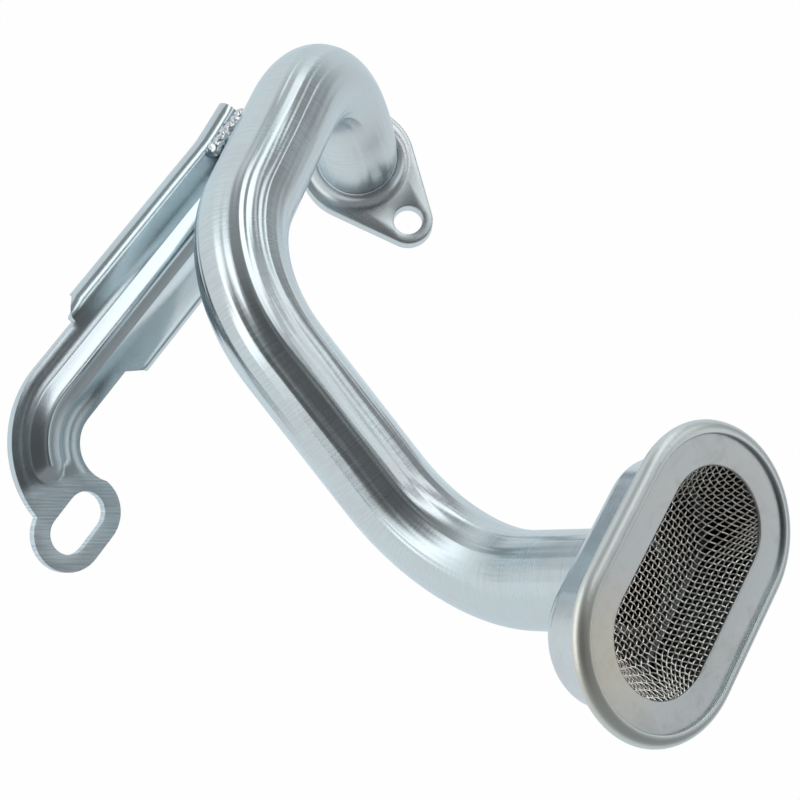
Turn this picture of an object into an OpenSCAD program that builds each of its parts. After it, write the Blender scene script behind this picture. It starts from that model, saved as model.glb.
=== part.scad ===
// Oil pickup tube of an engine: a bent steel tube with a bolted flange at one end,
// a strainer cup with a woven screen at the other, and a stay bracket welded to its side.
// The strainer's mouth faces +Z. The origin is the centre of the flange's mating face.

/* [Tube] */
// Outside diameter of the tube
tube_d = 19; // [16:0.5:19.5]
// Wall thickness of the tube
tube_wall = 1.5; // [0.8:0.1:2]
// Centre-line radius of the bending die
bend_r = 32; // [28:0.5:40]
// Length of the tube that stands inside the cup
tube_in = 0.7; // [0.4:0.1:1.5]
// Straight length from the cup's floor to the first bend
straight_1 = 24.8; // [16:0.1:40]
// Turn of the first bend about the tube
turn_1 = 109.8; // [105:0.1:115]
// Angle of the first bend
bend_1 = 74.2; // [68:0.1:80]
// Straight length between the first and second bends
straight_2 = 31.8; // [20:0.1:45]
// Turn of the second bend about the tube
turn_2 = 106.8; // [102:0.1:112]
// Angle of the second bend
bend_2 = 68.5; // [64:0.1:73]
// Straight length between the second and third bends
straight_3 = 29.5; // [26:0.1:40]
// Turn of the third bend about the tube
turn_3 = 42.5; // [36:0.1:48]
// Angle of the third bend
bend_3 = 75; // [70:0.1:80]
// Straight length between the third and fourth bends
straight_4 = 2; // [1:0.1:12]
// Turn of the fourth bend about the tube
turn_4 = 136.8; // [130:0.1:144]
// Angle of the fourth bend
bend_4 = 24; // [15:0.1:35]
// Straight length from the fourth bend to the flange's mating face
straight_5 = 10.8; // [9.5:0.1:20]
// Length of the tube's spigot past the mating face
spigot_l = 8; // [4:0.5:14]
// Depth to which the spigot is sized down from the tube
spigot_draw = 0.2; // [0.1:0.05:0.3]
// Chamfer round the spigot's outer edge
spigot_chamfer = 0.6; // [0.2:0.1:0.7]

/* [Flange] */
// Thickness of the flange plate
flange_t = 4.2; // [3:0.1:5]
// Radius of the flange round the tube
pad_r = 14; // [13.5:0.1:18]
// Radius of the bolt ear's end
ear_r = 6; // [5:0.1:8]
// Distance from the tube's axis to the bolt hole
bolt_reach = 19.3; // [18:0.1:26]
// Diameter of the bolt hole
bolt_hole_d = 7; // [5.5:0.1:8]
// Turn of the ear about the tube
ear_turn = 173.4; // [160:0.1:186]
// Radius of the drawn neck's fillet
neck_fillet = 3.2; // [2:0.1:3.4]

/* [Strainer] */
// Half of the straight side of the strainer's plan
side_half = 11.2; // [8:0.1:16]
// Radius of the mouth's round ends
mouth_r = 10.9; // [9.5:0.1:11]
// Width of the folded rim over the ring plate
hem_w = 2.6; // [2.2:0.1:3]
// Angle at which the folded rim falls away to its outer edge
hem_fall = 40; // [36:1:44]
// Width of the rim outside the cup's wall
rim_w = 5.9; // [5.6:0.1:7]
// Depth of the cup from the mouth plane to the outside of its floor
cup_depth = 16.5; // [15:0.1:22]
// Radius of the cup's outer floor corner
cup_corner = 3; // [2:0.1:3]
// Thickness of the cup's sheet
cup_sheet = 0.8; // [0.6:0.1:1]
// Thickness of the ring plate
ring_sheet = 1.2; // [1:0.1:1.4]
// Thickness of the lip drawn down from the ring plate
lip_sheet = 0.8; // [0.6:0.1:0.9]
// Depth of the lip turned in round the mouth
lip_depth = 2.4; // [2:0.1:3]
// Depth of the screen's floor below the mouth plane
screen_depth = 10; // [8:0.1:12]
// Radius of the round ends of the screen's floor
screen_floor_r = 8; // [6.5:0.1:9]
// Half of the straight side of the screen's floor
screen_floor_half = 7.2; // [6.5:0.1:9]
// Thickness of the woven screen
screen_t = 0.4; // [0.3:0.05:0.5]
// Room on each side of the screen between lip and cup
screen_gap = 0.15; // [0.12:0.01:0.3]
// Distance between the gaps of the screen
gap_pitch = 1.6; // [1.6:0.05:2.2]
// Width of one gap of the screen
gap_w = 0.9; // [0.6:0.05:1.2]

/* [Bracket] */
// Thickness of the bracket's sheet
arm_sheet = 2; // [1.5:0.1:2.5]
// Where the arm touches the tube, along the third straight
arm_seat = 15.6; // [12:0.1:18]
// Angle of the arm in plan, from the strainer's long axis
arm_angle = -4.8; // [-10:0.1:0]
// Length of the arm's tail past the touching point
arm_tail = 6.5; // [4:0.1:9]
// Width of the channel part of the arm
channel_w = 22.7; // [20:0.1:26]
// Distance by which the channel lies off the bead's line
channel_shift = 0.75; // [0:0.05:1.2]
// Length of the channel from the touching point
channel_l = 49.5; // [40:0.1:60]
// Outside radius of the channel's bent edges
channel_bend = 2.6; // [2.5:0.1:3.2]
// Depth of the channel from the face of its web
channel_depth = 3.2; // [3.2:0.1:6]
// Width of the flat strip past the channel
strip_w = 14.8; // [13:0.1:17]
// Distance by which the strip lies off the bead's line
strip_shift = 0.3; // [0:0.05:0.8]
// Length of the cut corner between channel and strip
corner_l = 4.5; // [2:0.1:6]
// Distance from the touching point to the arm's elbow
elbow_at = 67; // [60:0.1:80]
// Centre-line radius of the elbow
elbow_r = 15.1; // [13:0.1:18]
// Distance of the eye's centre past the elbow's centre, along the arm
eye_out = 17.4; // [16:0.1:19]
// Distance of the eye's centre past the elbow's centre, across the arm
eye_up = 4.1; // [3:0.1:6]
// Width of the eye's slot
slot_w = 8.3; // [6.5:0.1:9]
// Distance between the centres of the slot's ends
slot_l = 5.8; // [3:0.1:8]
// Width of metal round the slot
eye_wall = 3.5; // [3:0.1:5]
// Width of the raised bead at its foot
bead_w = 6.5; // [5:0.1:7.5]
// Width of the raised bead's top
bead_top = 3; // [2:0.1:4]
// Height of the raised bead
bead_h = 1.5; // [1:0.1:1.8]
// Start of the bead past the touching point
bead_start = 9; // [8:0.1:14]
// Angle at which the bead stops round the elbow
bead_stop = 58; // [45:1:64]

/* [Joining] */
// Gap that filler runs into between tube and plate
braze_gap = 0.05; // [0.02:0.01:0.1]
// Size of the filler rings
braze_w = 0.8; // [0.5:0.1:1]
// Radius of the weld beads
weld_r = 2; // [1.6:0.1:2.4]
// Number of ripples in one weld bead
weld_ripples = 6; // [4:1:8]
// Distance between the ripples
weld_step = 1.9; // [1.4:0.1:2.2]

/* [Hidden] */
$fn = 96;
eps = 0.01;
// A bend comes out of the die a hair slimmer than the straights, which lap over its ends
lap = 0.3;
lap_step = 0.06;
tube_r = tube_d / 2;
bore_r = tube_r - tube_wall;
spigot_r = tube_r - spigot_draw;
tube_before = cup_sheet + tube_in;
runs = [
    [straight_1, turn_1, bend_1],
    [straight_2, turn_2, bend_2],
    [straight_3, turn_3, bend_3],
    [straight_4, turn_4, bend_4]
];
// A frame is a place followed by its X, Y and Z directions, and the tube runs along Z
strainer_floor = [[0, 0, -cup_depth], [1, 0, 0], [0, -1, 0], [0, 0, -1]];
run_1 = after_bend(strainer_floor, runs[0]);
run_2 = after_bend(run_1, runs[1]);
run_3 = after_bend(run_2, runs[2]);
run_4 = after_bend(run_3, runs[3]);
mating_face = moved(run_4, straight_5);
// Fits across the strainer, from the mouth outwards
lip_r = mouth_r + lip_sheet;
screen_r = lip_r + screen_gap;
cup_in = screen_r + screen_t + screen_gap;
cup_r = cup_in + cup_sheet;
rim_r = cup_r + rim_w;
hem_r = rim_r - hem_w;
// Stack of the folded rim, from the mouth plane
hem_top = cup_sheet;
ring_low = -ring_sheet;
flange_top = ring_low - screen_t;
flange_low = flange_top - cup_sheet;
fold_r = cup_sheet + 0.2;
fold_z = flange_low + fold_r;
fold_c = rim_r - fold_r;
// The hem lies flat on the ring plate's edge, then falls away to the fold
hem_bend = fold_c + (fold_r + (fold_z - hem_top) * cos(hem_fall)) / sin(hem_fall);
hem_inner = hem_bend - cup_sheet * tan(hem_fall / 2);
ring_r = hem_inner - 0.04;
// Seat of the arm under the third straight
seat = moved(run_2, arm_seat);
seat_drop = tube_r / sqrt(1 - pow(seat[3].z, 2));
web_top = seat[0].z - seat_drop;
elbow_c = [elbow_at, elbow_r + strip_shift];
eye_at = elbow_c + [eye_out, eye_up];
eye_r = slot_w / 2 + eye_wall;
// The bead swells a little at its end in the elbow
bead_swell = 0.06;
neck_top = flange_t + neck_fillet;

function moved(f, l) = [f[0] + l * f[3], f[1], f[2], f[3]];
function after_bend(f, run) =
    let (
        p = f[0] + run[0] * f[3],
        side = cos(run[1]) * f[1] + sin(run[1]) * f[2],
        ahead = f[3],
        x = cos(run[2]) * side - sin(run[2]) * ahead,
        z = sin(run[2]) * side + cos(run[2]) * ahead
    )
    [p + bend_r * ((1 - cos(run[2])) * side + sin(run[2]) * ahead), x, cross(z, x), z];

// Puts the flange's mating face at the origin
module placed() {
    translate(-mating_face[0])
        children();
}

// Moves its children into a frame along the tube
module in_frame(f) {
    multmatrix([
        [f[1].x, f[2].x, f[3].x, f[0].x],
        [f[1].y, f[2].y, f[3].y, f[0].y],
        [f[1].z, f[2].z, f[3].z, f[0].z],
        [0, 0, 0, 1]
    ])
        children();
}

// One bend towards local X
module bend(r, angle) {
    translate([bend_r, 0, 0])
        rotate([90, 0, 0])
            rotate_extrude(angle = angle, start = 180 - angle)
                translate([bend_r, 0])
                    circle(r - lap_step);
}

// Straight length that laps over the bends at its ends
module straight(r, l, before, after) {
    translate([0, 0, -before])
        cylinder(h = before + l + after, r = r);
}

// Straight length and the bend after it
module tube_run(r, run, before = lap) {
    straight(r, run[0], before, lap);
    translate([0, 0, run[0]])
        rotate([0, 0, run[1]])
            bend(r, run[2]);
}

// Tube as a solid rod, from inside the cup to a length past the mating face
module tube_rod(r, inside, past) {
    in_frame(strainer_floor)
        tube_run(r, runs[0], inside);
    in_frame(run_1)
        tube_run(r, runs[1]);
    in_frame(run_2)
        tube_run(r, runs[2]);
    in_frame(run_3)
        tube_run(r, runs[3]);
    in_frame(run_4)
        straight(r, straight_5, lap, past);
}

// Half section of the sized end that plugs into the port
module spigot_section() {
    polygon([
        [0, -1],
        [spigot_r, -1],
        [spigot_r, spigot_l - spigot_chamfer],
        [spigot_r - spigot_chamfer, spigot_l],
        [0, spigot_l]
    ]);
}

module pickup_tube() {
    color("silver")
        placed()
            difference() {
                union() {
                    tube_rod(tube_r, tube_before, 0);
                    in_frame(mating_face)
                        rotate_extrude()
                            spigot_section();
                }
                tube_rod(bore_r, tube_before + 1, spigot_l + 1);
            }
}

// Plan of the flange: a round pad, an ear and the two lines that touch both
module flange_plan() {
    lean = asin((pad_r - ear_r) / bolt_reach);
    pad_touch = pad_r * [sin(lean), cos(lean)];
    ear_touch = [bolt_reach, 0] + ear_r * [sin(lean), cos(lean)];
    circle(pad_r);
    translate([bolt_reach, 0])
        circle(ear_r);
    polygon([
        pad_touch,
        ear_touch,
        [ear_touch.x, -ear_touch.y],
        [pad_touch.x, -pad_touch.y]
    ]);
}

module block_flange() {
    color("lightgray")
        placed()
            in_frame(mating_face)
                rotate([0, 0, ear_turn])
                    difference() {
                        union() {
                            translate([0, 0, -flange_t])
                                linear_extrude(flange_t)
                                    flange_plan();
                            translate([0, 0, -neck_top])
                                neck();
                        }
                        translate([0, 0, -neck_top - 1])
                            cylinder(h = neck_top + 2, r = tube_r + braze_gap);
                        translate([bolt_reach, 0, -flange_t - 1])
                            cylinder(h = flange_t + 2, d = bolt_hole_d);
                    }
}

// Drawn neck that flares into the plate
module neck() {
    rotate_extrude()
        difference() {
            translate([tube_r, 0])
                square([neck_fillet + braze_w / 2, neck_fillet + eps]);
            translate([tube_r + braze_w / 2 + neck_fillet, 0])
                circle(neck_fillet);
        }
}

module flange_braze() {
    color("gainsboro")
        placed()
            in_frame(moved(mating_face, -neck_top))
                rotate_extrude()
                    polygon([
                        [tube_r, 0],
                        [tube_r, -braze_w],
                        [tube_r + braze_w / 2, 0]
                    ]);
}

// Sweeps a section, drawn as radius and height, round the strainer's plan
module round_strainer() {
    for (s = [0, 180])
        rotate([0, 0, s]) {
            translate([side_half, 0, 0])
                rotate([0, 0, -90])
                    rotate_extrude(angle = 180)
                        children();
            translate([-side_half, 0, 0])
                rotate([90, 0, 90])
                    linear_extrude(2 * side_half)
                        children();
        }
}

// Quarter bend of a sheet in section, turned by quarter turns from the one between +X and +Y
module sheet_bend(c, out_r, in_r, turn) {
    translate(c)
        rotate(90 * turn)
            intersection() {
                difference() {
                    circle(out_r);
                    circle(in_r);
                }
                square(out_r);
            }
}

// Half section of the cup, with its rim folded over
module cup_section() {
    wall_low = cup_corner - cup_depth;
    wall_top = flange_low - cup_sheet;
    turn_c = cup_r + cup_sheet;
    translate([0, -cup_depth])
        square([cup_r - cup_corner, cup_sheet]);
    sheet_bend([cup_r - cup_corner, wall_low], cup_corner, cup_corner - cup_sheet, 3);
    translate([cup_in, wall_low])
        square([cup_sheet, wall_top - wall_low]);
    sheet_bend([turn_c, wall_top], 2 * cup_sheet, cup_sheet, 1);
    translate([turn_c, flange_low])
        square([fold_c - turn_c, cup_sheet]);
    sheet_bend([fold_c, fold_z], fold_r, fold_r - cup_sheet, 3);
    rim_fold();
}

// Upper part of the folded rim: the end of its bend, the falling side and the flat hem
module rim_fold() {
    steps = 8;
    turn = (90 - hem_fall) / steps;
    fold_in = fold_r - cup_sheet;
    polygon(concat(
        [for (i = [0 : steps]) [fold_c + fold_r * cos(i * turn), fold_z + fold_r * sin(i * turn)]],
        [[hem_bend, hem_top], [hem_r, hem_top], [hem_r, 0], [hem_inner, 0]],
        [for (i = [steps : -4 : 0]) [fold_c + fold_in * cos(i * turn), fold_z + fold_in * sin(i * turn)]]
    ));
}

module strainer_cup() {
    color("lightsteelblue")
        placed()
            difference() {
                round_strainer()
                    cup_section();
                translate([0, 0, -cup_depth - 1])
                    cylinder(h = cup_sheet + 2, r = tube_r + braze_gap);
            }
}

// Half section of the ring plate, with its lip turned in round the mouth
module ring_section() {
    turn_c = mouth_r + ring_sheet;
    translate([turn_c, ring_low])
        square([ring_r - turn_c, ring_sheet]);
    translate([turn_c, ring_low])
        intersection() {
            circle(ring_sheet);
            translate([-ring_sheet, 0])
                square(ring_sheet);
        }
    translate([mouth_r, -lip_depth])
        square([lip_sheet, lip_depth + ring_low]);
}

module ring_plate() {
    color("darkgray")
        placed()
            round_strainer()
                ring_section();
}

// Obround slab between two heights
module obround(half, r, low, high) {
    for (s = [-1, 1])
        translate([s * half, 0, low])
            cylinder(h = high - low, r = r, $fn = 32);
}

// Solid dish that the screen is pressed over
module dish(grow, top) {
    hull() {
        obround(screen_floor_half, screen_floor_r + grow, -screen_depth - grow, -screen_depth - grow + eps);
        obround(side_half, screen_r + grow, -lip_depth - eps, -lip_depth);
    }
    obround_bar(side_half, screen_r + grow, -lip_depth - eps, top);
}

module obround_bar(half, r, low, high) {
    obround(half, r, low, high);
    translate([-half, -r, low])
        cube([2 * half, 2 * r, high - low]);
}

module strainer_screen() {
    gap_columns = floor(2 * (screen_floor_half + screen_floor_r / 2) / gap_pitch);
    gap_rows = floor(2 * (screen_floor_r - 1) / gap_pitch);
    color("dimgray")
        placed()
            difference() {
                union() {
                    dish(screen_t, flange_top + eps);
                    obround_bar(side_half, hem_r, flange_top, ring_low);
                }
                dish(0, 1);
                for (i = [0 : gap_columns - 1], j = [0 : gap_rows - 1])
                    translate([
                        (i - (gap_columns - 1) / 2) * gap_pitch,
                        (j - (gap_rows - 1) / 2) * gap_pitch,
                        -screen_depth
                    ])
                        cube([gap_w, gap_w, 4], center = true);
            }
}

module cup_braze() {
    color("gainsboro")
        placed()
            translate([0, 0, -cup_depth])
                rotate_extrude()
                    polygon([
                        [tube_r, 0],
                        [tube_r + braze_w, 0],
                        [tube_r, -braze_w]
                    ]);
}

// Arm's own frame: origin under the tube at the face of the web, X along the arm
module on_arm() {
    translate([seat[0].x, seat[0].y, web_top])
        rotate([0, 0, arm_angle])
            children();
}

// Cross-section of one bent edge of the channel
module channel_edge() {
    half = channel_w / 2;
    sheet_bend([half - channel_bend, -channel_bend], channel_bend, channel_bend - arm_sheet, 0);
    translate([half - arm_sheet, -channel_depth])
        square([arm_sheet, channel_depth - channel_bend]);
}

module channel() {
    flat_half = channel_w / 2 - channel_bend;
    translate([-arm_tail, channel_shift, 0]) {
        translate([0, -flat_half, -arm_sheet])
            cube([arm_tail + channel_l, 2 * flat_half, arm_sheet]);
        for (m = [0, 1])
            mirror([0, m, 0])
                rotate([90, 0, 90])
                    linear_extrude(arm_tail + channel_l)
                        channel_edge();
    }
}

// Plan of the flat part: cut corners, strip, elbow and eye
module strip_plan() {
    corner_half = channel_w / 2 - channel_bend / 4;
    strip_low = strip_shift - strip_w / 2;
    strip_high = strip_shift + strip_w / 2;
    polygon([
        [channel_l, channel_shift - corner_half],
        [channel_l + corner_l, strip_low],
        [elbow_at, strip_low],
        [elbow_at, strip_high],
        [channel_l + corner_l, strip_high],
        [channel_l, channel_shift + corner_half]
    ]);
    intersection() {
        translate(elbow_c)
            difference() {
                circle(elbow_r + strip_w / 2);
                circle(elbow_r - strip_w / 2);
            }
        translate([elbow_at, elbow_c.y - 2 * elbow_r])
            square([3 * elbow_r, 2 * elbow_r + eye_up - 0.3 * eye_r]);
    }
    for (s = [-1, 1])
        translate(eye_at + [s * slot_l / 2, 0])
            circle(eye_r);
    translate(eye_at)
        square([slot_l, 2 * eye_r], center = true);
}

// Section of the bead above a height, for the raised face and for the groove behind it
module bead_section(low, top, narrow) {
    polygon([
        [-bead_w / 2 + narrow, low],
        [-bead_top / 2 + narrow, top],
        [bead_top / 2 - narrow, top],
        [bead_w / 2 - narrow, low]
    ]);
}

// Bead along the arm and round its elbow, with round ends
module bead(low, top, narrow) {
    foot = bead_w / 2 - narrow;
    crest = bead_top / 2 - narrow;
    translate([bead_start, 0, 0])
        rotate([90, 0, 90])
            linear_extrude(elbow_at - bead_start)
                bead_section(low, top, narrow);
    translate([bead_start, 0, low])
        cylinder(h = top - low, r1 = foot, r2 = crest);
    translate([elbow_at, elbow_c.y, 0])
        rotate([0, 0, -90]) {
            rotate_extrude(angle = bead_stop)
                translate([elbow_c.y, 0])
                    bead_section(low, top, narrow);
            rotate([0, 0, bead_stop])
                translate([elbow_c.y, 0, low])
                    cylinder(h = top - low, r1 = foot + bead_swell, r2 = crest + bead_swell);
        }
}

// Arm before it is notched for the tube
module arm_blank() {
    difference() {
        union() {
            channel();
            translate([0, 0, -arm_sheet])
                linear_extrude(arm_sheet)
                    strip_plan();
            bead(0, bead_h, 0);
        }
        bead(-arm_sheet - eps, bead_h - arm_sheet, arm_sheet / 4);
        for (s = [-1, 1])
            translate([eye_at.x + s * slot_l / 2, eye_at.y, -arm_sheet - 1])
                cylinder(h = arm_sheet + 2, d = slot_w);
        translate([eye_at.x, eye_at.y, -arm_sheet / 2])
            cube([slot_l, slot_w, arm_sheet + 2], center = true);
    }
}

// Tube's third straight as a solid, for the notch and the weld beads
module seat_rod(r) {
    in_frame(moved(run_2, -1))
        cylinder(h = straight_3 + 2, r = r);
}

module stay_bracket() {
    color("slategray")
        placed()
            difference() {
                on_arm()
                    arm_blank();
                seat_rod(tube_r + braze_gap);
            }
}

// Ripples of filler in the corner between the tube and the arm
module weld_ripple_row(side) {
    for (i = [0 : weld_ripples - 1])
        translate([(i - weld_ripples / 2) * weld_step, side * (tube_r - weld_r), weld_r / 2])
            sphere(weld_r);
}

module bracket_welds() {
    color("whitesmoke")
        placed()
            difference() {
                on_arm() {
                    weld_ripple_row(-1);
                    weld_ripple_row(1);
                }
                seat_rod(tube_r);
                on_arm()
                    channel();
            }
}

pickup_tube();
block_flange();
flange_braze();
strainer_cup();
ring_plate();
strainer_screen();
cup_braze();
stay_bracket();
bracket_welds();
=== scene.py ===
"""Oil pickup tube: bent steel tube, bolted flange, screened strainer and stay bracket."""

import math

import bmesh
import bpy
from bpy.props import FloatProperty, FloatVectorProperty, IntProperty, PointerProperty
from mathutils import Matrix, Vector, noise


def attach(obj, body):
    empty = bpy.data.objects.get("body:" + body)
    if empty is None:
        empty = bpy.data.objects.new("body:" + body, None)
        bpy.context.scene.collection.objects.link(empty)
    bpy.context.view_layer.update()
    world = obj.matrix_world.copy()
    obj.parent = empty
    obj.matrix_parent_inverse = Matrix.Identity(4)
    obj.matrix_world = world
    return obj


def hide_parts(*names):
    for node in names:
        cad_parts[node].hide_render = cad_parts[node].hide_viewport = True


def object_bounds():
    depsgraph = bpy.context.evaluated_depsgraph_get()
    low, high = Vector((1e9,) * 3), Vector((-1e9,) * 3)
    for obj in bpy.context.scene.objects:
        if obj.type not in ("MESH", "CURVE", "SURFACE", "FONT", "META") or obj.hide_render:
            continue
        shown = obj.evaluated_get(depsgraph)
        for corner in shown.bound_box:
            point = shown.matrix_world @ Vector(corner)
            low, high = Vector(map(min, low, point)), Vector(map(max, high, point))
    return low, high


bl_info = {
    "name": "Oil Pickup Tube",
    "version": (1, 0, 0),
    "blender": (4, 5, 0),
    "location": "View3D > Sidebar > Pickup",
    "description": "Builds a zinc plated oil pickup tube with its strainer, flange and stay bracket",
    "category": "Add Mesh",
}

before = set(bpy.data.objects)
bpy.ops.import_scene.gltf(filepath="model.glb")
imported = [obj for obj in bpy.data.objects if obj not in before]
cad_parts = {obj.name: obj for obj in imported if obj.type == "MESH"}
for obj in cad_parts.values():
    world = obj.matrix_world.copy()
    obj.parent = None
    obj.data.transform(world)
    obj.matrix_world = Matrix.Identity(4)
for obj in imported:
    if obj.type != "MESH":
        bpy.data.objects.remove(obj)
CAD_BOX = [list(corner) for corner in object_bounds()]


def length(name, text, default):
    """A size in metres, given in millimetres."""
    return FloatProperty(name=name, description=text, default=default / 1000, unit="LENGTH", precision=5)


def angle(name, text, default):
    """An angle, given in degrees."""
    return FloatProperty(name=name, description=text, default=math.radians(default), subtype="ANGLE")


def colour(name, text, default):
    """A linear colour."""
    return FloatVectorProperty(name=name, description=text, default=default, size=3, min=0, max=1, subtype="COLOR")


# Sizes and finishes that a user would change


class TubeSizes(bpy.types.PropertyGroup):
    """Sizes of the bent tube, followed from the strainer to the flange."""

    diameter: length("Diameter", "Outside diameter of the tube", 19)
    wall: length("Wall", "Wall thickness of the tube", 1.5)
    bend_radius: length("Bend radius", "Centre-line radius of the bends", 32)
    inside: length("Inside", "Length of the tube that stands inside the cup", 1.5)
    straight_1: length("Straight 1", "Straight from the cup's floor to the first bend", 24.8)
    turn_1: angle("Turn 1", "Turn of the first bend about the tube", 109.8)
    bend_1: angle("Bend 1", "Angle of the first bend", 74.2)
    straight_2: length("Straight 2", "Straight between the first and second bends", 31.8)
    turn_2: angle("Turn 2", "Turn of the second bend about the tube", 106.8)
    bend_2: angle("Bend 2", "Angle of the second bend", 68.5)
    straight_3: length("Straight 3", "Straight between the second and third bends", 29.5)
    turn_3: angle("Turn 3", "Turn of the third bend about the tube", 42.5)
    bend_3: angle("Bend 3", "Angle of the third bend", 75)
    straight_4: length("Straight 4", "Straight between the third and fourth bends", 2)
    turn_4: angle("Turn 4", "Turn of the fourth bend about the tube", 136.8)
    bend_4: angle("Bend 4", "Angle of the fourth bend", 24)
    straight_5: length("Straight 5", "Straight from the fourth bend to the mating face", 10.8)
    spigot: length("Spigot", "Length of the sized end past the mating face", 8)
    spigot_draw: length("Spigot draw", "Depth to which the spigot is sized down", 0.2)
    chamfer: length("Chamfer", "Chamfer round the spigot's end", 0.6)


class FlangeSizes(bpy.types.PropertyGroup):
    """Sizes of the bolted flange."""

    thickness: length("Thickness", "Thickness of the flange plate", 4.2)
    pad: length("Pad radius", "Radius of the flange round the tube", 14)
    ear: length("Ear radius", "Radius of the bolt ear's end", 6)
    reach: length("Bolt reach", "Distance from the tube's axis to the bolt hole", 19.3)
    hole: length("Bolt hole", "Diameter of the bolt hole", 7)
    ear_turn: angle("Ear turn", "Turn of the ear about the tube", 173.4)
    fillet: length("Neck fillet", "Radius of the drawn neck's fillet", 3.2)
    edge: length("Edge", "Rounding of the stamped edges", 0.35)


class StrainerSizes(bpy.types.PropertyGroup):
    """Sizes of the strainer cup, its ring plate and its screen."""

    side: length("Half side", "Half of the straight side of the plan", 11.2)
    mouth: length("Mouth radius", "Radius of the mouth's round ends", 10.9)
    sheet: length("Cup sheet", "Thickness of the cup's sheet", 0.8)
    ring_sheet: length("Ring sheet", "Thickness of the ring plate", 1.2)
    lip_width: length("Lip width", "Width of the thin edge round the mouth", 0.8)
    screen_room: length("Screen room", "Room on each side of the screen", 0.15)
    screen_sheet: length("Screen thickness", "Thickness of the woven screen", 0.4)
    rim: length("Rim width", "Width of the rim outside the cup's wall", 5.9)
    hem: length("Hem width", "Width of the folded rim over the ring plate", 2.6)
    hem_fall: angle("Hem fall", "Angle at which the folded rim falls away to its outer edge", 40)
    lip_round: length("Lip rounding", "Rounding of the thin edge round the mouth", 0.3)
    screen_reach: length("Screen reach", "Distance from the mouth's edge to the screen's upper edge", 0.5)
    screen_top: length("Screen top", "Depth of the screen's upper edge below the mouth plane", 1.0)
    depth: length("Cup depth", "Depth from the mouth plane to the outside of the floor", 16.5)
    corner: length("Cup corner", "Radius of the cup's outer floor corner", 3)
    dish: length("Dish depth", "Depth of the screen's floor below the mouth plane", 10)
    floor: length("Floor radius", "Radius of the round ends of the screen's floor", 8)
    floor_side: length("Floor half side", "Half of the straight side of the screen's floor", 7.2)
    pitch: length("Wire pitch", "Distance between neighbouring wires", 1.1)
    wire: length("Wire diameter", "Diameter of one wire", 0.34)


class BracketSizes(bpy.types.PropertyGroup):
    """Sizes of the stay bracket, along and across its arm, and of its weld beads."""

    seat: length("Seat", "Where the arm touches the tube, along the third straight", 15.6)
    arm_angle: angle("Arm angle", "Angle of the arm in plan", -4.8)
    sheet: length("Sheet", "Thickness of the bracket's sheet", 2)
    tail: length("Tail", "Length of the arm past the touching point", 6.5)
    channel: length("Channel length", "Length of the channel from the touching point", 49.5)
    channel_width: length("Channel width", "Width of the channel", 22.7)
    channel_shift: length("Channel shift", "Distance by which the channel lies off the bead's line", 0.75)
    bend: length("Edge bend", "Outside radius of the channel's bent edges", 2.6)
    depth: length("Channel depth", "Depth of the channel from the face of its web", 3.2)
    strip: length("Strip width", "Width of the flat strip past the channel", 14.8)
    strip_shift: length("Strip shift", "Distance by which the strip lies off the bead's line", 0.3)
    corner: length("Corner", "Length of the cut corner between channel and strip", 4.5)
    elbow: length("Elbow", "Distance from the touching point to the elbow", 67)
    elbow_radius: length("Elbow radius", "Centre-line radius of the elbow", 15.1)
    eye_out: length("Eye along", "Distance of the eye past the elbow's centre, along the arm", 17.4)
    eye_up: length("Eye across", "Distance of the eye past the elbow's centre, across the arm", 4.1)
    slot: length("Slot width", "Width of the eye's slot", 8.3)
    slot_length: length("Slot length", "Distance between the centres of the slot's ends", 5.8)
    eye_wall: length("Eye wall", "Width of metal round the slot", 3.5)
    bead: length("Bead width", "Width of the pressed bead at its foot", 6.5)
    bead_height: length("Bead height", "Height of the pressed bead", 1.5)
    bead_start: length("Bead start", "Start of the bead past the touching point", 9)
    bead_stop: angle("Bead stop", "Angle at which the bead stops round the elbow", 58)
    edge: length("Edge", "Rounding of the cut edges", 0.18)
    brush_start: length("Brush start", "Distance from the touching point at which the brushed eye starts", 56.8)
    brush_side: angle("Brush side", "Heading, from the arm, in which the brushed eye lies", 53.6)
    brush_turn: angle("Brush turn", "Heading of the brush marks from the arm", 130.5)
    weld: length("Weld radius", "Radius of the weld beads", 2)
    weld_step: length("Weld step", "Distance between the ripples of a weld bead", 1.9)
    ripples: IntProperty(name="Ripples", description="Number of ripples in one weld bead", default=6, min=3, max=12)


class Finishes(bpy.types.PropertyGroup):
    """Colours of the plated finishes."""

    tube: colour("Tube", "Bright zinc on the tube", (0.54, 0.62, 0.64))
    flange: colour("Flange", "Zinc on the flange", (0.52, 0.58, 0.59))
    cup: colour("Cup", "Satin zinc on the cup", (0.54, 0.60, 0.62))
    ring: colour("Ring", "Satin zinc on the ring plate", (0.44, 0.47, 0.47))
    wire: colour("Wire", "Steel wire of the screen", (0.95, 0.94, 0.88))
    bracket: colour("Bracket", "Zinc on the stay bracket", (0.50, 0.59, 0.62))
    weld: colour("Weld", "Plated weld bead", (0.58, 0.63, 0.65))
    filler: colour("Filler", "Plated filler round the tube", (0.55, 0.60, 0.62))


class StageSettings(bpy.types.PropertyGroup):
    """Light and floor."""

    floor_gap: length("Floor gap", "Gap between the floor and the part's lowest point", 0.5)
    light: FloatProperty(name="Light", description="Brightness of the soft lamps", default=1.7, min=0, max=4)
    room: FloatProperty(name="Room", description="Brightness of the room", default=0.45, min=0, max=1)
    shade: FloatProperty(name="Shade", description="Brightness of the room's dark side", default=0.14, min=0, max=1)


# Fixed values, in metres where nothing else is said

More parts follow.
